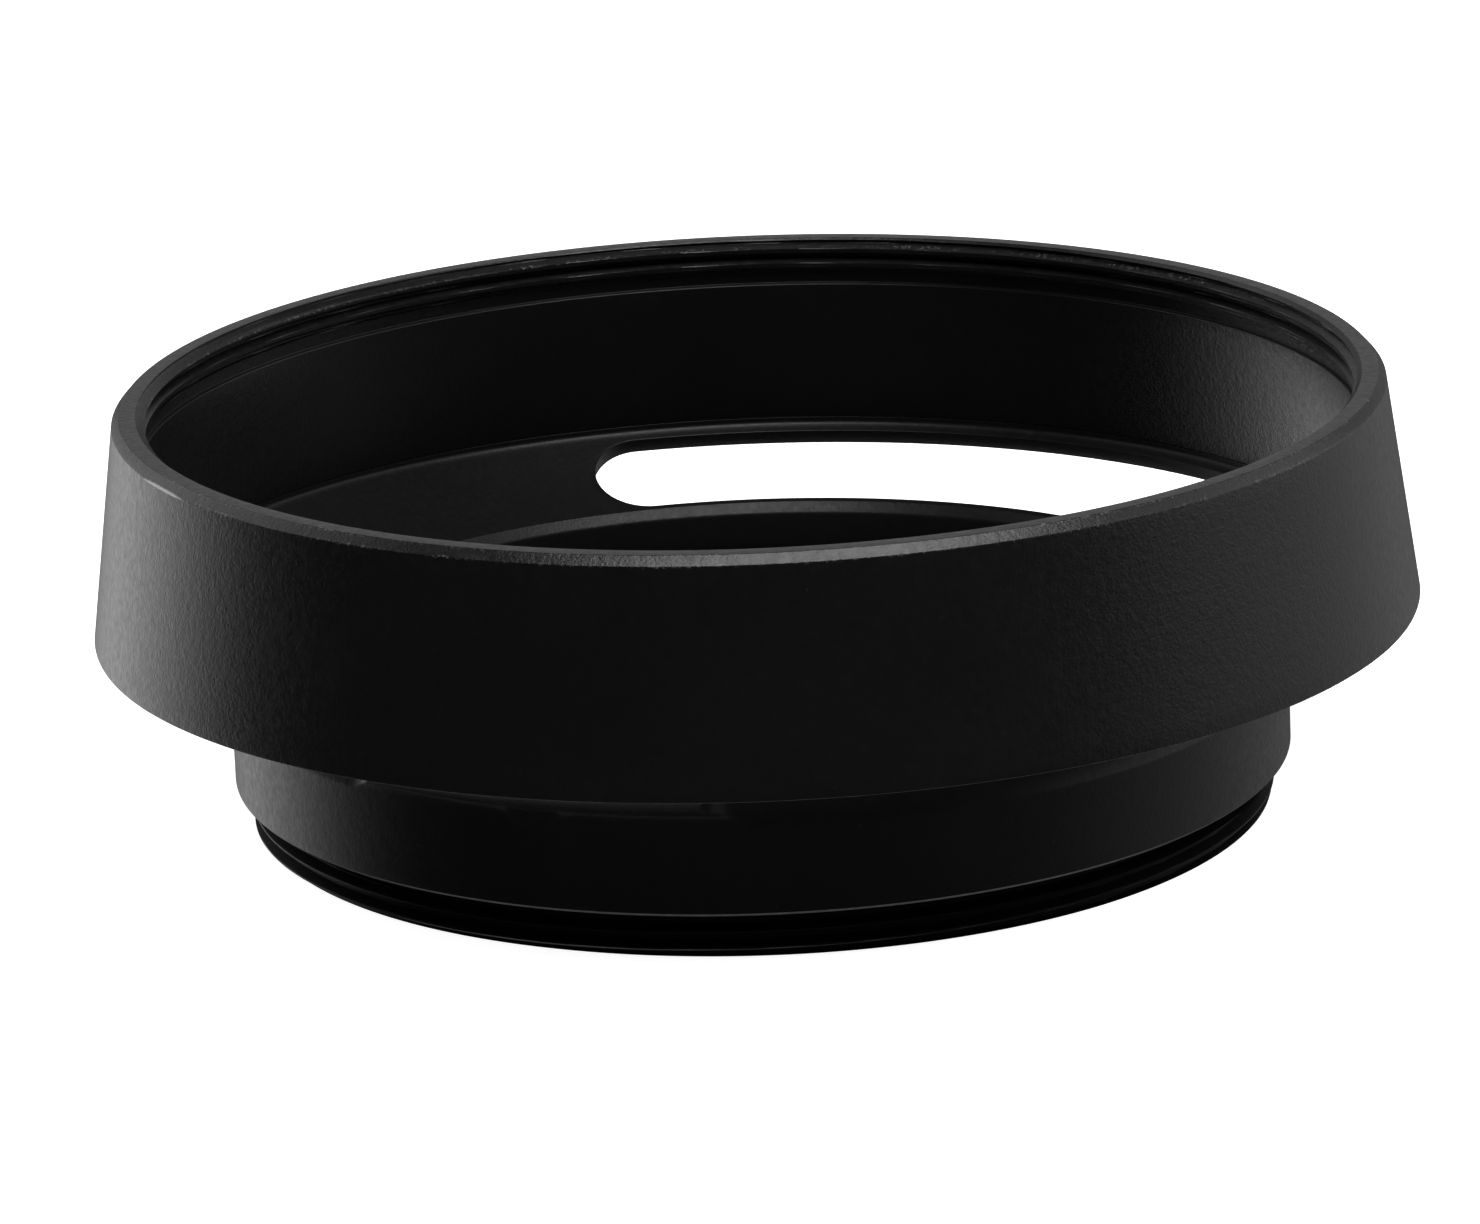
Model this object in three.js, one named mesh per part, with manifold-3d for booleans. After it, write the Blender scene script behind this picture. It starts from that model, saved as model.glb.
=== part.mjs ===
// Vented screw-in lens hood, black anodised aluminium.
// Frame: origin at the centre of the rear end face of the mounting thread,
// +Z along the optical axis toward the front opening, one vent slot centred on +Y.
// Millimetres. Three turned pieces: the tapered shade ring, the vent ring
// (shallow cone with three long slots, and its collar), and the thread ring.
import * as THREE from 'three';
import { mergeVertices } from 'three/addons/utils/BufferGeometryUtils.js';
import Module from 'manifold-3d';

// ---------- driving dimensions ----------
const SEG = 72;                 // facets round each ring
const FIT = 0.05;               // radial and axial clearance between assembled pieces

// mounting thread, male, M49 x 0.75
const PITCH = 0.75;
const MALE_R = 24.5;            // major radius
const MALE_ROOT_R = 24.04;      // root radius
const RELIEF_R = 23.90;         // run-out groove behind the thread
const THREAD_END_Z = 1.46;      // where the thread runs out into the groove
const RING_BORE_R = 23.00;      // clear bore of the thread ring
const SPIGOT_Z = 5.23;          // top of the spigot that is held in the collar

// collar and vented cone
const COLLAR_R = 25.32;
const COLLAR_Z = 2.26;          // seat face of the collar
const SOCKET_R = 24.60;         // socket for the thread ring, wider than the thread so the seat is clear
const SOCKET_Z = 5.28;
const BORE_R = 24.01;           // bore of the vent ring
const BORE_EDGE_Z = 7.65;       // where the cone's inner face meets the bore
const CONE_SLOPE = 0.464;       // rise per mm of radius, inner face (24.9 degrees)
const UNDER_R = 25.32, UNDER_Z = 7.01;   // start of the cone's outer face
const UNDER_SLOPE = 0.54;

// shade
const SKIRT_R = 31.62, SKIRT_Z = 9.64;   // rear edge, outside
const BEVEL_R = 30.19, BEVEL_Z = 20.07;  // lower edge of the front bevel
const LIP_OUT_R = 29.81, LIP_IN_R = 29.03, LIP_Z = 20.49;
const CREST_R = 28.60;          // female front thread M58 x 0.75, minor radius
const ROOT_R = 29.00;
const WALL_TOP_R = 28.90, WALL_TOP_Z = 18.13;
const WALL_BOTTOM_R = 29.97;    // inner wall where it meets the rim seat
const SEAT_R = 30.66, SEAT_Z = 10.82;    // counterbore for the vent ring's rim

// vent slots
const SLOTS = 3;
const SLOT_IN_R = 24.66, SLOT_OUT_R = 29.45;  // edges on the cone's inner face
const SLOT_HALF_ANGLE = 41.5;   // degrees, to the tip of the round end

// ---------- helpers ----------
const wasm = await Module();
wasm.setup();

function toManifold(geometry) {
  const g = geometry.clone();
  for (const name of Object.keys(g.attributes)) if (name !== 'position') g.deleteAttribute(name);
  const m = mergeVertices(g, 1e-5);
  const mesh = new wasm.Mesh({
    numProp: 3,
    vertProperties: new Float32Array(m.attributes.position.array),
    triVerts: new Uint32Array(m.index.array),
  });
  return new wasm.Manifold(mesh);
}

function toGeometry(solid) {
  const mesh = solid.getMesh();
  const g = new THREE.BufferGeometry();
  g.setAttribute('position', new THREE.BufferAttribute(new Float32Array(mesh.vertProperties), 3));
  g.setIndex(new THREE.BufferAttribute(new Uint32Array(mesh.triVerts), 1));
  g.computeVertexNormals();
  return g;
}

// Closed ring from a closed (r, z) outline, listed counter-clockwise with r to
// the right and z up. A facet corner lies on each of +X, +Y, -X and -Y.
function ring(outline, seg = SEG) {
  const pos = [], idx = [], n = outline.length;
  for (let i = 0; i < seg; i++) {
    const a = (i / seg) * Math.PI * 2;
    for (const [r, z] of outline) pos.push(r * Math.cos(a), r * Math.sin(a), z);
  }
  for (let i = 0; i < seg; i++) {
    const j = (i + 1) % seg;
    for (let k = 0; k < n; k++) {
      const l = (k + 1) % n;
      const a = i * n + k, b = j * n + k, c = j * n + l, d = i * n + l;
      idx.push(a, b, c, a, c, d);
    }
  }
  const g = new THREE.BufferGeometry();
  g.setAttribute('position', new THREE.BufferAttribute(new Float32Array(pos), 3));
  g.setIndex(idx);
  g.computeVertexNormals();
  return g;
}

// Solid swept through part of a turn from a convex (r, z) outline, with end caps.
// Its facet corners fall on the rings' facet corners, so a cut runs level.
function sector(outline, mid, half) {
  const pos = [], idx = [], n = outline.length;
  const pitch = (2 * Math.PI) / SEG, inner = Math.floor(half / pitch);
  const angles = [mid - half];
  for (let i = -inner; i <= inner; i++) angles.push(mid + i * pitch);
  angles.push(mid + half);
  const steps = angles.length - 1;
  for (const a of angles) {
    for (const [r, z] of outline) pos.push(r * Math.cos(a), r * Math.sin(a), z);
  }
  for (let i = 0; i < steps; i++) {
    for (let k = 0; k < n; k++) {
      const l = (k + 1) % n;
      const a = i * n + k, b = (i + 1) * n + k, c = (i + 1) * n + l, d = i * n + l;
      idx.push(a, b, c, a, c, d);
    }
  }
  const e = steps * n;
  for (let k = 1; k < n - 1; k++) {
    idx.push(0, k, k + 1);
    idx.push(e, e + k + 1, e + k);
  }
  const g = new THREE.BufferGeometry();
  g.setAttribute('position', new THREE.BufferAttribute(new Float32Array(pos), 3));
  g.setIndex(idx);
  return g;
}

function piece(name, geometry, color, roughness) {
  const mesh = new THREE.Mesh(geometry, new THREE.MeshStandardMaterial({ color, roughness, metalness: 0.35 }));
  mesh.name = name;
  return mesh;
}

const ANODISED = 0x141416, MATT = 0x0f0f11;

// ---------- shade ring ----------
// Tapered shell with a flat lip, the front thread cut inside it as ring grooves,
// a run-out band with a small ledge under it, and the seat for the vent ring.
const grooveZ = 19.55;
const shadeOutline = [
  [SKIRT_R, SKIRT_Z],
  [BEVEL_R, BEVEL_Z],
  [LIP_OUT_R, LIP_Z],
  [LIP_IN_R, LIP_Z],
  [CREST_R, LIP_Z - (LIP_IN_R - CREST_R)],
  [CREST_R, grooveZ + 0.28],
  [ROOT_R, grooveZ + 0.05],
  [ROOT_R, grooveZ - 0.05],
  [CREST_R, grooveZ - 0.28],
  [CREST_R, grooveZ - PITCH + 0.28],
  [ROOT_R, grooveZ - PITCH + 0.05],
  [ROOT_R, WALL_TOP_Z + 0.06],
  [WALL_TOP_R, WALL_TOP_Z],
  [WALL_BOTTOM_R, SEAT_Z],
  [SEAT_R, SEAT_Z],
  [SEAT_R, SKIRT_Z],
];
const shadeRing = ring(shadeOutline);

// ---------- vent ring ----------
// Rim seated in the shade, shallow cone, collar with the socket for the thread ring.
const rimR = SEAT_R - FIT, rimTop = SEAT_Z - FIT;
const coneIn = (r) => BORE_EDGE_Z + (r - BORE_R) * CONE_SLOPE;
const coneOut = (r) => UNDER_Z + (r - UNDER_R) * UNDER_SLOPE;
const ventOutline = [
  [COLLAR_R - 0.14, COLLAR_Z],
  [COLLAR_R, COLLAR_Z + 0.14],
  [COLLAR_R, UNDER_Z - 0.42],
  [COLLAR_R + 0.12, UNDER_Z - 0.10],
  [COLLAR_R + 0.42, coneOut(COLLAR_R + 0.42)],
  [30.38, coneOut(30.38)],
  [rimR, SKIRT_Z],
  [rimR, rimTop],
  [WALL_BOTTOM_R + 0.01, rimTop],
  [WALL_BOTTOM_R - 0.02, 10.62],
  [29.83, 10.43],
  [29.60, coneIn(29.60)],
  [BORE_R + 0.40, coneIn(BORE_R + 0.40)],
  [BORE_R, BORE_EDGE_Z - 0.34],
  [BORE_R, SOCKET_Z],
  [SOCKET_R, SOCKET_Z],
  [SOCKET_R, COLLAR_Z],
];
let vent = toManifold(ring(ventOutline));

const tilt = Math.atan(CONE_SLOPE);
const rMid = (SLOT_IN_R + SLOT_OUT_R) / 2;
const halfWidth = (SLOT_OUT_R - SLOT_IN_R) / (2 * Math.cos(tilt));
const endAngle = THREE.MathUtils.degToRad(SLOT_HALF_ANGLE) - halfWidth / rMid;
// unit vectors in the (r, z) plane: along the cone, and out of its inner face
const along = [Math.cos(tilt), Math.sin(tilt)], out = [-Math.sin(tilt), Math.cos(tilt)];
const at = (u, v) => [rMid + along[0] * u + out[0] * v, coneIn(rMid) + along[1] * u + out[1] * v];
for (let s = 0; s < SLOTS; s++) {
  const mid = Math.PI / 2 + (s * 2 * Math.PI) / SLOTS;
  const bar = sector([at(-halfWidth, -2.2), at(halfWidth, -2.2), at(halfWidth, 1.5), at(-halfWidth, 1.5)],
    mid, endAngle);
  vent = vent.subtract(toManifold(bar));
  for (const side of [-1, 1]) {
    const a = mid + side * endAngle;
    const end = new THREE.CylinderGeometry(halfWidth, halfWidth, 3.7, 28);
    const c = at(0, -0.35);
    const axis = new THREE.Vector3(out[0] * Math.cos(a), out[0] * Math.sin(a), out[1]).normalize();
    end.applyQuaternion(new THREE.Quaternion().setFromUnitVectors(new THREE.Vector3(0, 1, 0), axis));
    end.translate(c[0] * Math.cos(a), c[0] * Math.sin(a), c[1]);
    vent = vent.subtract(toManifold(end));
  }
}
const ventRing = toGeometry(vent);

// ---------- mounting thread ring ----------
// The thread drawn as ring grooves, the run-out groove, and
// the spigot held in the collar's socket.
const spigotR = SOCKET_R - FIT;
const threadOutline = [
  [RING_BORE_R + 0.15, 0],
  [MALE_R - 0.20, 0],
  [MALE_R, 0.21],
  [MALE_R, 0.56],
  [MALE_ROOT_R, 0.82],
  [MALE_ROOT_R, 0.96],
  [MALE_R, 1.22],
  [MALE_R, 1.32],
  [RELIEF_R, THREAD_END_Z + 0.16],
  [RELIEF_R, COLLAR_Z + 0.10],
  [spigotR, COLLAR_Z + 0.10],
  [spigotR, SPIGOT_Z],
  [RING_BORE_R, SPIGOT_Z],
  [RING_BORE_R, 0.15],
];
const threadRing = ring(threadOutline);

// ---------- assembly ----------
const hood = new THREE.Group();
hood.add(piece('shade_ring', shadeRing, ANODISED, 0.55));
hood.add(piece('vent_ring', ventRing, ANODISED, 0.55));
hood.add(piece('mount_thread_ring', threadRing, MATT, 0.5));
export default hood;
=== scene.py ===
import math
import bpy
import bmesh
from mathutils import Matrix, Vector


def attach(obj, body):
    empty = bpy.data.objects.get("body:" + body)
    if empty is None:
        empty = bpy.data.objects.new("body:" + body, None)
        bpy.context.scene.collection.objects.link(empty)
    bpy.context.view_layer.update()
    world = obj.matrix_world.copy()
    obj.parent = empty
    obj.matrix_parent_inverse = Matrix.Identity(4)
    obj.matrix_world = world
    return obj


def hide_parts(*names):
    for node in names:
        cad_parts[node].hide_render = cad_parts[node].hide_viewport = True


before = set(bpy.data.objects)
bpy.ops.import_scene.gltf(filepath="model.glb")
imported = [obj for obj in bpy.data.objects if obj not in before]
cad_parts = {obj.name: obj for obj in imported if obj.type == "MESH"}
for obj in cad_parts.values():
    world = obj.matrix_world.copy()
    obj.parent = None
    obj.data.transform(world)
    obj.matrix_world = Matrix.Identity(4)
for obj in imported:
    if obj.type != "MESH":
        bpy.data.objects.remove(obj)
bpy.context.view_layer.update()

MM = 0.001
COLS = 720                     # columns round each ring
PITCH = 0.75
FAR = math.radians(114.5)      # direction away from the camera, angle from +X


# ------------------------------------------------------------------ outlines
def rounded(points):
    """(r, z, radius, steps) corners to a polyline with small round corners."""
    out, n = [], len(points)
    for i in range(n):
        r, z, rad, steps = points[i]
        p = Vector((r, z))
        if rad <= 0 or i == 0 or i == n - 1:
            out.append((r, z))
            continue
        a = Vector(points[i - 1][:2]) - p
        b = Vector(points[i + 1][:2]) - p
        ang = a.angle(b)
        t = min(rad / math.tan(ang / 2), a.length * 0.48, b.length * 0.48)
        pa, pb = p + a.normalized() * t, p + b.normalized() * t
        for k in range(steps + 1):
            s = k / steps
            q = pa * (1 - s) ** 2 + p * 2 * s * (1 - s) + pb * s ** 2
            out.append((q.x, q.y))
    return out


def densify(line, longest):
    out = [line[0]]
    for (r0, z0), (r1, z1) in zip(line, line[1:]):
        n = max(1, math.ceil(math.hypot(r1 - r0, z1 - z0) / longest))
        for k in range(1, n + 1):
            out.append((r0 + (r1 - r0) * k / n, z0 + (z1 - z0) * k / n))
    return out


def finish_mesh(name, bm, sharp=0.55):
    bmesh.ops.remove_doubles(bm, verts=bm.verts, dist=2e-7)
    bmesh.ops.recalc_face_normals(bm, faces=bm.faces)
    for f in bm.faces:
        f.smooth = True
    for e in bm.edges:
        e.smooth = not (len(e.link_faces) == 2 and e.calc_face_angle() > sharp)
    mesh = bpy.data.meshes.new(name)
    bm.to_mesh(mesh)
    bm.free()
    o = bpy.data.objects.new(name, mesh)
    bpy.context.scene.collection.objects.link(o)
    return o


def revolve(bm, line, closed, radius=None, cols=COLS):
    """Turns a polyline about Z. radius(i, phi, r, z) may change a point's radius."""
    rings = []
    for i, (r, z) in enumerate(line):
        row = []
        for c in range(cols):
            phi = 2 * math.pi * c / cols
            q = radius(i, phi, r, z) if radius else r
            row.append(bm.verts.new((q * math.cos(phi) * MM, q * math.sin(phi) * MM, z * MM)))
        rings.append(row)
    last = len(rings) if closed else len(rings) - 1
    for i in range(last):
        a, b = rings[i], rings[(i + 1) % len(rings)]
        for c in range(cols):
            d = (c + 1) % cols
            bm.faces.new((a[c], a[d], b[d], b[c]))


# ------------------------------------------------------------------ shade ring
LIP_IN, CREST, ROOT = 29.03, 28.60, 29.00
thread_rows = []
z = 20.46
while z > 18.24:
    thread_rows.append((CREST, z))
    z -= 0.025
outer = rounded([
    (31.10, 9.64, 0, 0), (31.62, 9.64, 0.09, 4), (30.19, 20.07, 0.10, 4), (29.81, 20.49, 0.07, 4), (29.40, 20.49, 0, 0),
])
outer = densify(outer, 0.8)
lip = rounded([(29.40, 20.49, 0, 0), (LIP_IN, 20.49, 0.03, 3), (LIP_IN - 0.03, 20.46, 0, 0)])[1:-1]
wall = rounded([
    (ROOT + 0.04, 18.23, 0, 0), (ROOT + 0.04, 18.16, 0.03, 3), (28.84, 18.08, 0.06, 4), (29.97, 10.82, 0, 0),
])
wall = densify(wall, 0.8)
seat = rounded([(29.97, 10.82, 0, 0), (30.66, 10.82, 0.05, 3), (30.66, 9.64, 0.06, 3), (31.10, 9.64, 0, 0)])[1:-1]
shade_line = outer + lip + thread_rows + wall + seat
first_thread = len(outer) + len(lip)
last_thread = first_thread + len(thread_rows)


def groove_depth(distance, half_open, half_floor, depth):
    """V thread: full depth inside half_floor, nothing outside half_open."""
    if distance <= half_floor:
        return depth
    if distance >= half_open:
        return 0.0
    return depth * (half_open - distance) / (half_open - half_floor)


def shade_radius(i, phi, r, z):
    if not first_thread <= i < last_thread:
        return r
    centre = 19.55 - PITCH * (FAR - phi) / (2 * math.pi)
    d = abs((z - centre + PITCH / 2) % PITCH - PITCH / 2)
    q = CREST + groove_depth(d, 0.285, 0.05, ROOT - CREST)
    q = max(q, LIP_IN - (20.49 - z))                     # lead-in chamfer
    if z < 18.92:                                        # run-out band
        q = max(q, CREST + min(1.0, (18.92 - z) / 0.18) * (ROOT + 0.04 - CREST))
    return q


bm = bmesh.new()
revolve(bm, shade_line, True, shade_radius)
shade = finish_mesh("shade_ring_turned", bm)


# ------------------------------------------------------------------ vent ring
SLOPE = 0.464
TILT = math.atan(SLOPE)
CA, SA = math.cos(TILT), math.sin(TILT)
R_IN, R_OUT = 24.66, 29.45
R_MID = (R_IN + R_OUT) / 2
HALF = (R_OUT - R_IN) / (2 * CA)
END = math.radians(41.5) - HALF / R_MID
SECTOR = math.radians(60)


def cone_in(r):
    return 7.65 + (r - 24.01) * SLOPE


def cone_out(r):
    return 7.01 + (r - 25.32) * 0.54


def at(u, v):
    return (R_MID + CA * u - SA * v, cone_in(R_MID) + SA * u + CA * v)


under = rounded([(25.32, 3.0, 0, 0), (25.32, 7.01, 0.66, 8), (30.55, cone_out(30.55), 0, 0)])


def depth_at(u):
    """How far below the cone's inner face the outer face lies, square to it."""
    r0, z0 = at(u, 0)
    dr, dz = SA, -CA
    best = None
    for (r1, z1), (r2, z2) in zip(under, under[1:]):
        er, ez = r2 - r1, z2 - z1
        det = dr * (-ez) - dz * (-er)
        if abs(det) < 1e-12:
            continue
        t = ((r1 - r0) * (-ez) - (z1 - z0) * (-er)) / det
        s = (dr * (z1 - z0) - dz * (r1 - r0)) / det
        if -1e-6 <= s <= 1 + 1e-6 and t > 0 and (best is None or t < best):
            best = t
    return best


U0, U1 = -2.93, 2.73
DROP = 0.07                                   # slot edge break
SIDE = 12
COL = 2 * math.pi / COLS
HALF_COLS = int(round(SECTOR / COL))


def rect_loop():
    """Outline of a third of the web in (u, angle)."""
    pts = []
    for c in range(-HALF_COLS, HALF_COLS):                    # outer edge
        pts.append((U1, c * COL))
    for k in range(SIDE):                                     # right side
        pts.append((U1 + (U0 - U1) * k / SIDE, SECTOR))
    for c in range(HALF_COLS, -HALF_COLS, -1):                # inner edge
        pts.append((U0, c * COL))
    for k in range(SIDE):                                     # left side
        pts.append((U0 + (U1 - U0) * k / SIDE, -SECTOR))
    return pts


RECT = rect_loop()


def arc_share(points, first, last):
    """Running length from points[first] to points[last], as shares of the whole."""
    run, total = [0.0], 0.0
    for i in range(first, last):
        a, b = points[i % len(points)], points[(i + 1) % len(points)]
        total += math.hypot(b[0] - a[0], (b[1] - a[1]) * R_MID)
        run.append(total)
    return [x / total for x in run]


n_edge = 2 * HALF_COLS
i_right_start = next(i for i in range(n_edge) if RECT[i][1] > END)       # past the straight part
i_right_end = next(i for i in range(n_edge + SIDE, len(RECT)) if RECT[i][0] == U0 and RECT[i][1] <= END)
i_left_start = next(i for i in range(n_edge + SIDE, len(RECT)) if RECT[i][0] == U0 and RECT[i][1] < -END)
i_left_end = len(RECT) + next(i for i in range(n_edge) if RECT[i][1] >= -END)
right_share = arc_share(RECT, i_right_start - 1, i_right_end)
left_share = arc_share(RECT, i_left_start - 1, i_left_end)


def slot_point(i, half):
    """Slot outline point matched to RECT[i], for a slot of that half width."""
    n = len(RECT)
    j = i if i >= i_left_start else i + n
    if i_right_start <= i < i_right_end:
        s = right_share[i - (i_right_start - 1)]
        a = math.pi * s
        u, w = half * math.cos(a), half * math.sin(a)
        return (u, END + w / (R_MID + CA * u))
    if i_left_start <= j < i_left_end:
        s = left_share[j - (i_left_start - 1)]
        a = math.pi * s
        u, w = -half * math.cos(a), -half * math.sin(a)
        return (u, -END + w / (R_MID + CA * u))
    u, phi = RECT[i]
    return (half if u > 0 else -half, phi)


def place(u, v, phi):
    r, z = at(u, v)
    return (r * math.cos(phi) * MM, r * math.sin(phi) * MM, z * MM)


bm = bmesh.new()
ROWS = 20
for third in range(3):
    mid = math.pi / 2 + third * 2 * math.pi / 3
    loops = []
    n = len(RECT)
    # inner face of the cone, from the sector's outline to the slot
    for k in range(ROWS + 1):
        s = (k / ROWS) ** 0.9
        row = []
        for i in range(n):
            su, sp = slot_point(i, HALF + DROP * 0.7)
            u, p = RECT[i][0] + (su - RECT[i][0]) * s, RECT[i][1] + (sp - RECT[i][1]) * s
            row.append(bm.verts.new(place(u, 0.0, mid + p)))
        loops.append(row)
    # broken edge, slot wall, broken edge
    for share, drop in ((0.20, 0.22), (0.0, 0.9)):
        row = []
        for i in range(n):
            su, sp = slot_point(i, HALF + DROP * share)
            row.append(bm.verts.new(place(su, -DROP * drop, mid + sp)))
        loops.append(row)
    for lift, share in ((0.90, 0.0), (0.22, 0.20)):
        row = []
        for i in range(n):
            su, sp = slot_point(i, HALF + DROP * share)
            row.append(bm.verts.new(place(su, -depth_at(su) + DROP * lift, mid + sp)))
        loops.append(row)
    # outer face, from the slot back to the sector's outline
    for k in range(ROWS, -1, -1):
        s = (k / ROWS) ** 0.9
        row = []
        for i in range(n):
            su, sp = slot_point(i, HALF + DROP * 0.7)
            u, p = RECT[i][0] + (su - RECT[i][0]) * s, RECT[i][1] + (sp - RECT[i][1]) * s
            row.append(bm.verts.new(place(u, -depth_at(u), mid + p)))
        loops.append(row)
    for a, b in zip(loops, loops[1:]):
        for i in range(n):
            j = (i + 1) % n
            bm.faces.new((a[i], a[j], b[j], b[i]))

# rim, from the cone's inner face over to its outer face
top_out, low_out = at(U1, 0), at(U1, -depth_at(U1))
fillet = []
for k in range(11):
    q = k / 10
    fillet.append(tuple(a * (1 - q) ** 2 + b * 2 * q * (1 - q) + c * q ** 2
                        for a, b, c in zip((29.67, cone_in(29.67)), (29.99, cone_in(29.99)), (29.975, 10.64))))
rim_line = [top_out] + fillet + rounded([
    (29.975, 10.74, 0, 0), (29.975, 10.77, 0.01, 1), (30.61, 10.77, 0.06, 3),
    (30.61, 9.64, 0.07, 3), (30.48, 9.64, 0.05, 2), (low_out[0], low_out[1], 0, 0),
])[1:]
revolve(bm, densify(rim_line, 0.5), False)
# collar, socket, bore and the bore's front edge
lower = at(U0, -depth_at(U0))
collar_line = rounded([
    (lower[0], lower[1], 0, 0), (25.32, 2.41, 0.05, 3), (25.17, 2.26, 0.05, 3), (24.60, 2.26, 0.04, 2),
    (24.60, 5.28, 0.04, 2), (24.01, 5.28, 0.04, 2), (24.01, 7.30, 0.34, 7), (24.42, 7.84, 0.34, 7), (at(U0, 0)[0], at(U0, 0)[1], 0, 0),
])
revolve(bm, densify(collar_line, 0.5), False)
vent = finish_mesh("vent_ring_turned", bm)


# ------------------------------------------------------------------ thread ring
MAJOR, MINOR, RELIEF = 24.5, 24.04, 23.90
bottom = rounded([(23.00, 3.8, 0, 0), (23.00, 0.15, 0.05, 3), (23.15, 0.0, 0.05, 3), (24.05, 0.0, 0, 0), (24.20, 0.0, 0, 0)])[:-1]
rows = []
z = 0.0
while z < 2.32:
    rows.append((MAJOR, z))
    z += 0.022
spigot = rounded([(RELIEF, 2.34, 0, 0), (24.55, 2.36, 0.02, 2), (24.55, 5.23, 0.08, 3), (23.00, 5.23, 0.10, 3), (23.00, 3.8, 0, 0)])[:-1]
thread_line = densify(bottom, 0.6) + rows + spigot
t0 = len(densify(bottom, 0.6))
t1 = t0 + len(rows)


def male_radius(i, phi, r, z):
    if not t0 <= i < t1:
        return r
    centre = 0.52 - PITCH * (FAR - phi - math.pi) / (2 * math.pi)
    d = abs((z - centre + PITCH / 2) % PITCH - PITCH / 2)
    q = MINOR + groove_depth(d, 0.285, 0.05, MAJOR - MINOR)
    q = min(q, 24.30 + z * 0.95)                          # end chamfer
    if z > 1.32:                                          # run-out groove
        q = min(q, RELIEF + max(0.0, 1.0 - (z - 1.32) / 0.24) * (MAJOR - RELIEF))
    return q


bm = bmesh.new()
revolve(bm, thread_line, True, male_radius)
thread = finish_mesh("mount_thread_ring_turned", bm)

for piece, node, slot in ((shade, "shade_ring", "anodised_shade"), (vent, "vent_ring", "anodised_vent"),
                          (thread, "mount_thread_ring", "anodised_thread")):
    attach(piece, "root")
    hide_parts(node)


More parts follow.
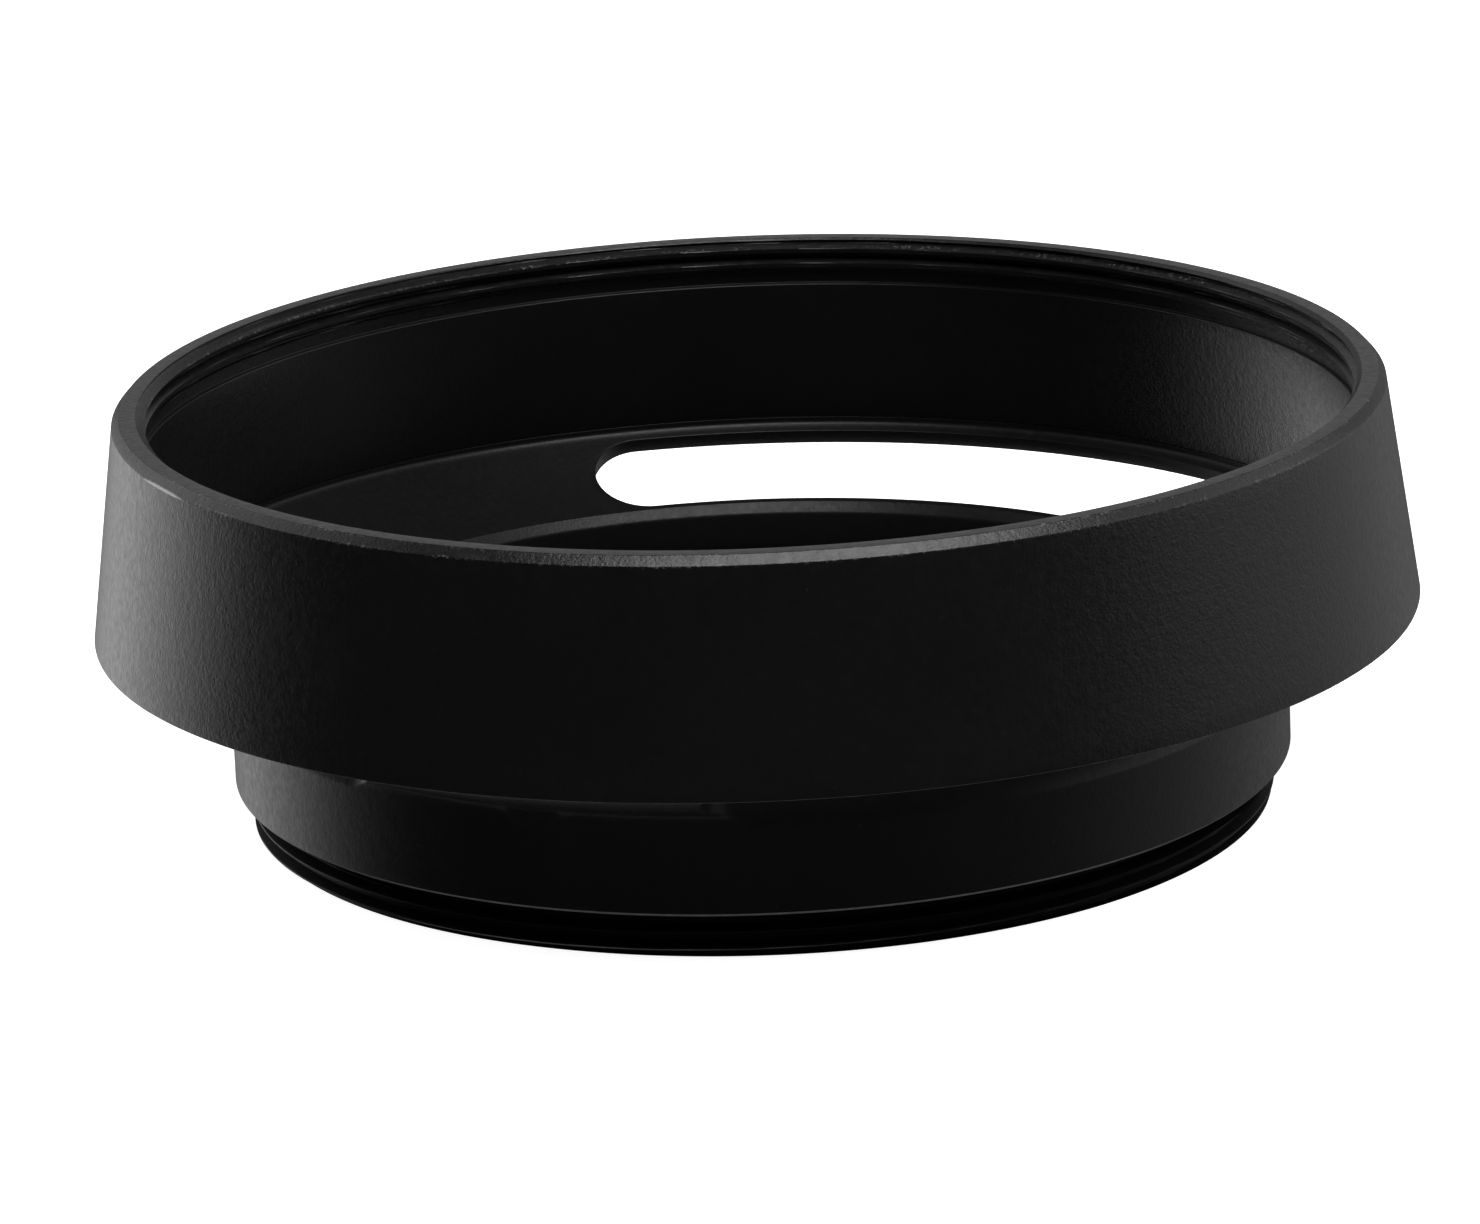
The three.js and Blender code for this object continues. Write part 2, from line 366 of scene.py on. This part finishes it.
# ------------------------------------------------------------------ materials
def anodised(name, color, gloss, rough, grain, wear):
    m = bpy.data.materials.new(name)
    m.use_nodes = True
    nt = m.node_tree
    nt.nodes.clear()
    N, L = nt.nodes.new, nt.links.new
    outn, bsdf = N("ShaderNodeOutputMaterial"), N("ShaderNodeBsdfPrincipled")
    L(bsdf.outputs["BSDF"], outn.inputs["Surface"])
    bsdf.inputs["Metallic"].default_value = 0.0
    bsdf.inputs["IOR"].default_value = 1.42
    bsdf.inputs["Specular IOR Level"].default_value = gloss
    co = N("ShaderNodeTexCoord")

    def noise(scale, detail, rgh=0.55, vec=None):
        t = N("ShaderNodeTexNoise")
        t.inputs["Scale"].default_value = scale
        t.inputs["Detail"].default_value = detail
        t.inputs["Roughness"].default_value = rgh
        L(vec or co.outputs["Object"], t.inputs["Vector"])
        return t.outputs["Fac"]

    def remap(v, a, b, c, d):
        t = N("ShaderNodeMapRange")
        for k, x in zip(("From Min", "From Max", "To Min", "To Max"), (a, b, c, d)):
            t.inputs[k].default_value = x
        L(v, t.inputs["Value"])
        return t.outputs["Result"]

    # blasted grain, turning bands left under it, and broad unevenness of the dye
    fine = noise(6500.0, 3.0)
    mid = noise(2600.0, 3.0)
    sep = N("ShaderNodeSeparateXYZ")
    L(co.outputs["Object"], sep.inputs["Vector"])
    comb = N("ShaderNodeCombineXYZ")
    L(sep.outputs["Z"], comb.inputs["Z"])
    bands = noise(3200.0, 2.0, 0.6, comb.outputs["Vector"])
    cloud = noise(60.0, 3.0)
    # sparse pale specks, smaller than a tenth of a millimetre
    vor = N("ShaderNodeTexVoronoi")
    vor.inputs["Scale"].default_value = 2400.0
    vor.inputs["Randomness"].default_value = 1.0
    L(co.outputs["Object"], vor.inputs["Vector"])
    pick = N("ShaderNodeSeparateColor")
    L(vor.outputs["Color"], pick.inputs["Color"])
    chosen = remap(pick.outputs["Red"], 0.975, 0.985, 0.0, 1.0)
    dot = remap(vor.outputs["Distance"], 0.04, 0.16, 1.0, 0.0)
    speck = N("ShaderNodeMath")
    speck.operation = "MULTIPLY"
    L(chosen, speck.inputs[0])
    L(dot, speck.inputs[1])
    def times(*vals):
        out = vals[0]
        for v in vals[1:]:
            t = N("ShaderNodeMath")
            t.operation = "MULTIPLY"
            L(out, t.inputs[0])
            if isinstance(v, float):
                t.inputs[1].default_value = v
            else:
                L(v, t.inputs[1])
            out = t.outputs[0]
        return out

    def near(value, centre):
        """1 on the turned edge at that height or radius, 0 a little way off it."""
        off = N("ShaderNodeMath")
        off.operation = "SUBTRACT"
        L(value, off.inputs[0])
        off.inputs[1].default_value = centre
        size = N("ShaderNodeMath")
        size.operation = "ABSOLUTE"
        L(off.outputs[0], size.inputs[0])
        return remap(size.outputs[0], 0.00004, 0.00009, 1.0, 0.0)

    def mix(fac, a, b):
        t = N("ShaderNodeMix")
        t.data_type = "RGBA"
        if isinstance(fac, float):
            t.inputs["Factor"].default_value = fac
        else:
            L(fac, t.inputs["Factor"])
        for sock, v in ((t.inputs["A"], a), (t.inputs["B"], b)):
            if isinstance(v, tuple):
                sock.default_value = v
            else:
                L(v, sock)
        return t.outputs["Result"]

    dark = tuple(c * 0.78 for c in color) + (1.0,)
    light = tuple(c * 1.25 for c in color) + (1.0,)
    base = mix(remap(cloud, 0.3, 0.7, 0.0, 1.0), dark, light)
    base = mix(remap(mid, 0.62, 0.80, 0.0, 0.35), base, tuple(c * 2.0 for c in color) + (1.0,))
    base = mix(speck.outputs[0], base, (0.012, 0.012, 0.013, 1.0))
    if wear > 0.0:
        # small chips along both edges of the front bevel, and one rubbed streak
        flat = N("ShaderNodeCombineXYZ")
        L(sep.outputs["X"], flat.inputs["X"])
        L(sep.outputs["Y"], flat.inputs["Y"])
        dist = N("ShaderNodeVectorMath")
        dist.operation = "LENGTH"
        L(flat.outputs["Vector"], dist.inputs[0])
        lower = near(sep.outputs["Z"], 0.02007)
        upper = times(near(dist.outputs["Value"], 0.02981), remap(sep.outputs["Z"], 0.02036, 0.02044, 0.0, 1.0))
        edge = N("ShaderNodeMath")
        edge.operation = "MAXIMUM"
        L(lower, edge.inputs[0])
        L(upper, edge.inputs[1])
        chips = remap(noise(5200.0, 3.0, 0.7), 0.55, 0.64, 0.0, 1.0)
        where = remap(noise(260.0, 2.0), 0.40, 0.60, 0.12, 1.0)
        base = mix(times(edge.outputs[0], chips, where, wear), base, (0.06, 0.06, 0.062, 1.0))
        streak = N("ShaderNodeVectorMath")
        streak.operation = "DOT_PRODUCT"
        a0 = FAR + math.radians(116.5)
        streak.inputs[1].default_value = (math.cos(a0) / 0.0302, math.sin(a0) / 0.0302, 0.0)
        L(co.outputs["Object"], streak.inputs[0])
        along = remap(streak.outputs["Value"], 0.9966, 0.9985, 0.0, 1.0)
        base = mix(times(along, lower), base, (0.20, 0.20, 0.205, 1.0))
    L(base, bsdf.inputs["Base Color"])
    L(remap(mid, 0.3, 0.7, rough - 0.05, rough + 0.05), bsdf.inputs["Roughness"])

    add = N("ShaderNodeMath")
    add.operation = "MULTIPLY_ADD"
    L(bands, add.inputs[0])
    add.inputs[1].default_value = 0.25
    L(fine, add.inputs[2])
    add2 = N("ShaderNodeMath")
    add2.operation = "MULTIPLY_ADD"
    L(mid, add2.inputs[0])
    add2.inputs[1].default_value = 1.0
    L(add.outputs[0], add2.inputs[2])
    bump = N("ShaderNodeBump")
    bump.inputs["Strength"].default_value = grain
    bump.inputs["Distance"].default_value = 0.00003
    L(add2.outputs[0], bump.inputs["Height"])
    L(bump.outputs["Normal"], bsdf.inputs["Normal"])
    return m


shade.data.materials.append(anodised("anodised_shade_black", (0.0022, 0.0022, 0.0024), 0.30, 0.33, 0.60, 1.0))
vent.data.materials.append(anodised("anodised_vent_black", (0.0024, 0.0024, 0.0026), 0.16, 0.38, 0.36, 0.0))
thread.data.materials.append(anodised("anodised_thread_black", (0.0015, 0.0015, 0.0017), 0.06, 0.46, 0.25, 0.0))


# ------------------------------------------------------------------ stage
def plain(name, color, rough):
    m = bpy.data.materials.new(name)
    m.use_nodes = True
    b = m.node_tree.nodes["Principled BSDF"]
    b.inputs["Base Color"].default_value = color + (1.0,)
    b.inputs["Roughness"].default_value = rough
    b.inputs["Specular IOR Level"].default_value = 0.1
    b.inputs["Emission Color"].default_value = (1.0, 1.0, 1.0, 1.0)
    b.inputs["Emission Strength"].default_value = 0.94
    return m


def local(th, dist, height):
    """A point th radians clockwise from the far direction, in metres."""
    a = FAR - th
    return Vector((dist * math.cos(a), dist * math.sin(a), height))


floor_mesh = bpy.data.meshes.new("floor")
S = 1.6
bm = bmesh.new()
vs = [bm.verts.new((x, y, -0.00002)) for x, y in ((-S, -S), (S, -S), (S, S), (-S, S))]
bm.faces.new(vs)
bm.to_mesh(floor_mesh)
bm.free()
floor = bpy.data.objects.new("floor", floor_mesh)
bpy.context.scene.collection.objects.link(floor)
floor.data.materials.append(plain("floor_white", (0.60, 0.60, 0.60), 0.9))
floor.visible_glossy = False      # the metal mirrors the dim studio, not the white sweep
floor.visible_shadow = False

world = bpy.data.worlds.new("studio")
bpy.context.scene.world = world
world.use_nodes = True
wn = world.node_tree
wn.nodes.clear()
wo, wb = wn.nodes.new("ShaderNodeOutputWorld"), wn.nodes.new("ShaderNodeBackground")
wc = wn.nodes.new("ShaderNodeTexCoord")


def lobe(direction, start, strength):
    """A soft pale patch of the studio round one direction."""
    dot = wn.nodes.new("ShaderNodeVectorMath")
    dot.operation = "DOT_PRODUCT"
    dot.inputs[1].default_value = direction
    fade = wn.nodes.new("ShaderNodeMapRange")
    fade.inputs["From Min"].default_value = start
    fade.inputs["To Max"].default_value = strength
    wn.links.new(wc.outputs["Generated"], dot.inputs[0])
    wn.links.new(dot.outputs["Value"], fade.inputs["Value"])
    return fade.outputs["Result"]


def plus(a, b):
    t = wn.nodes.new("ShaderNodeMath")
    t.operation = "ADD"
    wn.links.new(a, t.inputs[0])
    wn.links.new(b, t.inputs[1])
    return t.outputs[0]


def aim(th, elevation):
    a, e = FAR - math.radians(th), math.radians(elevation)
    return (math.cos(e) * math.cos(a), math.cos(e) * math.sin(a), math.sin(e))


glow = lobe(aim(0, 24), 0.848, 0.58)
glow = plus(glow, lobe(aim(-47, -11), 0.85, 2.25))
glow = plus(glow, lobe(aim(62, -10), 0.574, 0.60))
glow = plus(glow, lobe(aim(0, -68), 0.85, 2.2))
wn.links.new(glow, wb.inputs["Color"])
wb.inputs["Strength"].default_value = 1.0
wn.links.new(wb.outputs["Background"], wo.inputs["Surface"])


def area(name, loc, target, size, energy, size_y=None):
    d = bpy.data.lights.new(name, "AREA")
    d.energy = energy
    d.size = size
    if size_y:
        d.shape = "RECTANGLE"
        d.size_y = size_y
    o = bpy.data.objects.new(name, d)
    o.location = loc
    o.visible_camera = False
    o.rotation_euler = (Vector(target) - Vector(loc)).to_track_quat("-Z", "Y").to_euler()
    bpy.context.scene.collection.objects.link(o)
    return o


area("left_panel", local(math.radians(-66), 0.40, 0.27), (0, 0, 0.01), 0.46, 0.7, 0.30)
area("right_panel", local(math.radians(86), 0.50, 0.24), (0, 0, 0.01), 0.66, 1.5, 0.48)
area("top_box", local(math.radians(160), 0.19, 0.43), (0, 0, 0.0), 0.42, 3.6, 0.22)
area("back_box", local(math.radians(0), 0.14, 0.40), (0, 0, 0.0), 0.30, 0.07, 0.20)


# ------------------------------------------------------------------ camera
D = 374.98 * 0.992 * MM
ELEV, PAN, TILTC, ROLL = (math.radians(v) for v in (17.603, 0.1276, 1.3543, 2.3291))
C = Vector((0, -D * math.cos(ELEV), D * math.sin(ELEV)))
fwd = -C.normalized()
right = Vector((1, 0, 0))
up = right.cross(fwd)


def turned(v, k, a):
    return v * math.cos(a) + k.cross(v) * math.sin(a) + k * k.dot(v) * (1 - math.cos(a))


fwd2, right2 = turned(fwd, up, PAN), turned(right, up, PAN)
fwd3, up3 = turned(fwd2, right2, TILTC), turned(up, right2, TILTC)
right4, up4 = turned(right2, fwd3, ROLL), turned(up3, fwd3, ROLL)
spin = Matrix.Rotation(FAR - math.pi / 2, 3, "Z")
cam_data = bpy.data.cameras.new("camera")
cam_data.sensor_fit = "HORIZONTAL"
cam_data.sensor_width = 36.0
cam_data.lens = 7722.9 * 36.0 / 1480.0
cam_data.clip_start = 0.01
cam_data.clip_end = 50.0
cam = bpy.data.objects.new("camera", cam_data)
bpy.context.scene.collection.objects.link(cam)
rot = Matrix((spin @ right4, spin @ up4, spin @ -fwd3)).transposed()
cam.matrix_world = Matrix.Translation(spin @ C) @ rot.to_4x4()
bpy.context.scene.camera = cam
bpy.context.scene.view_settings.view_transform = "Standard"
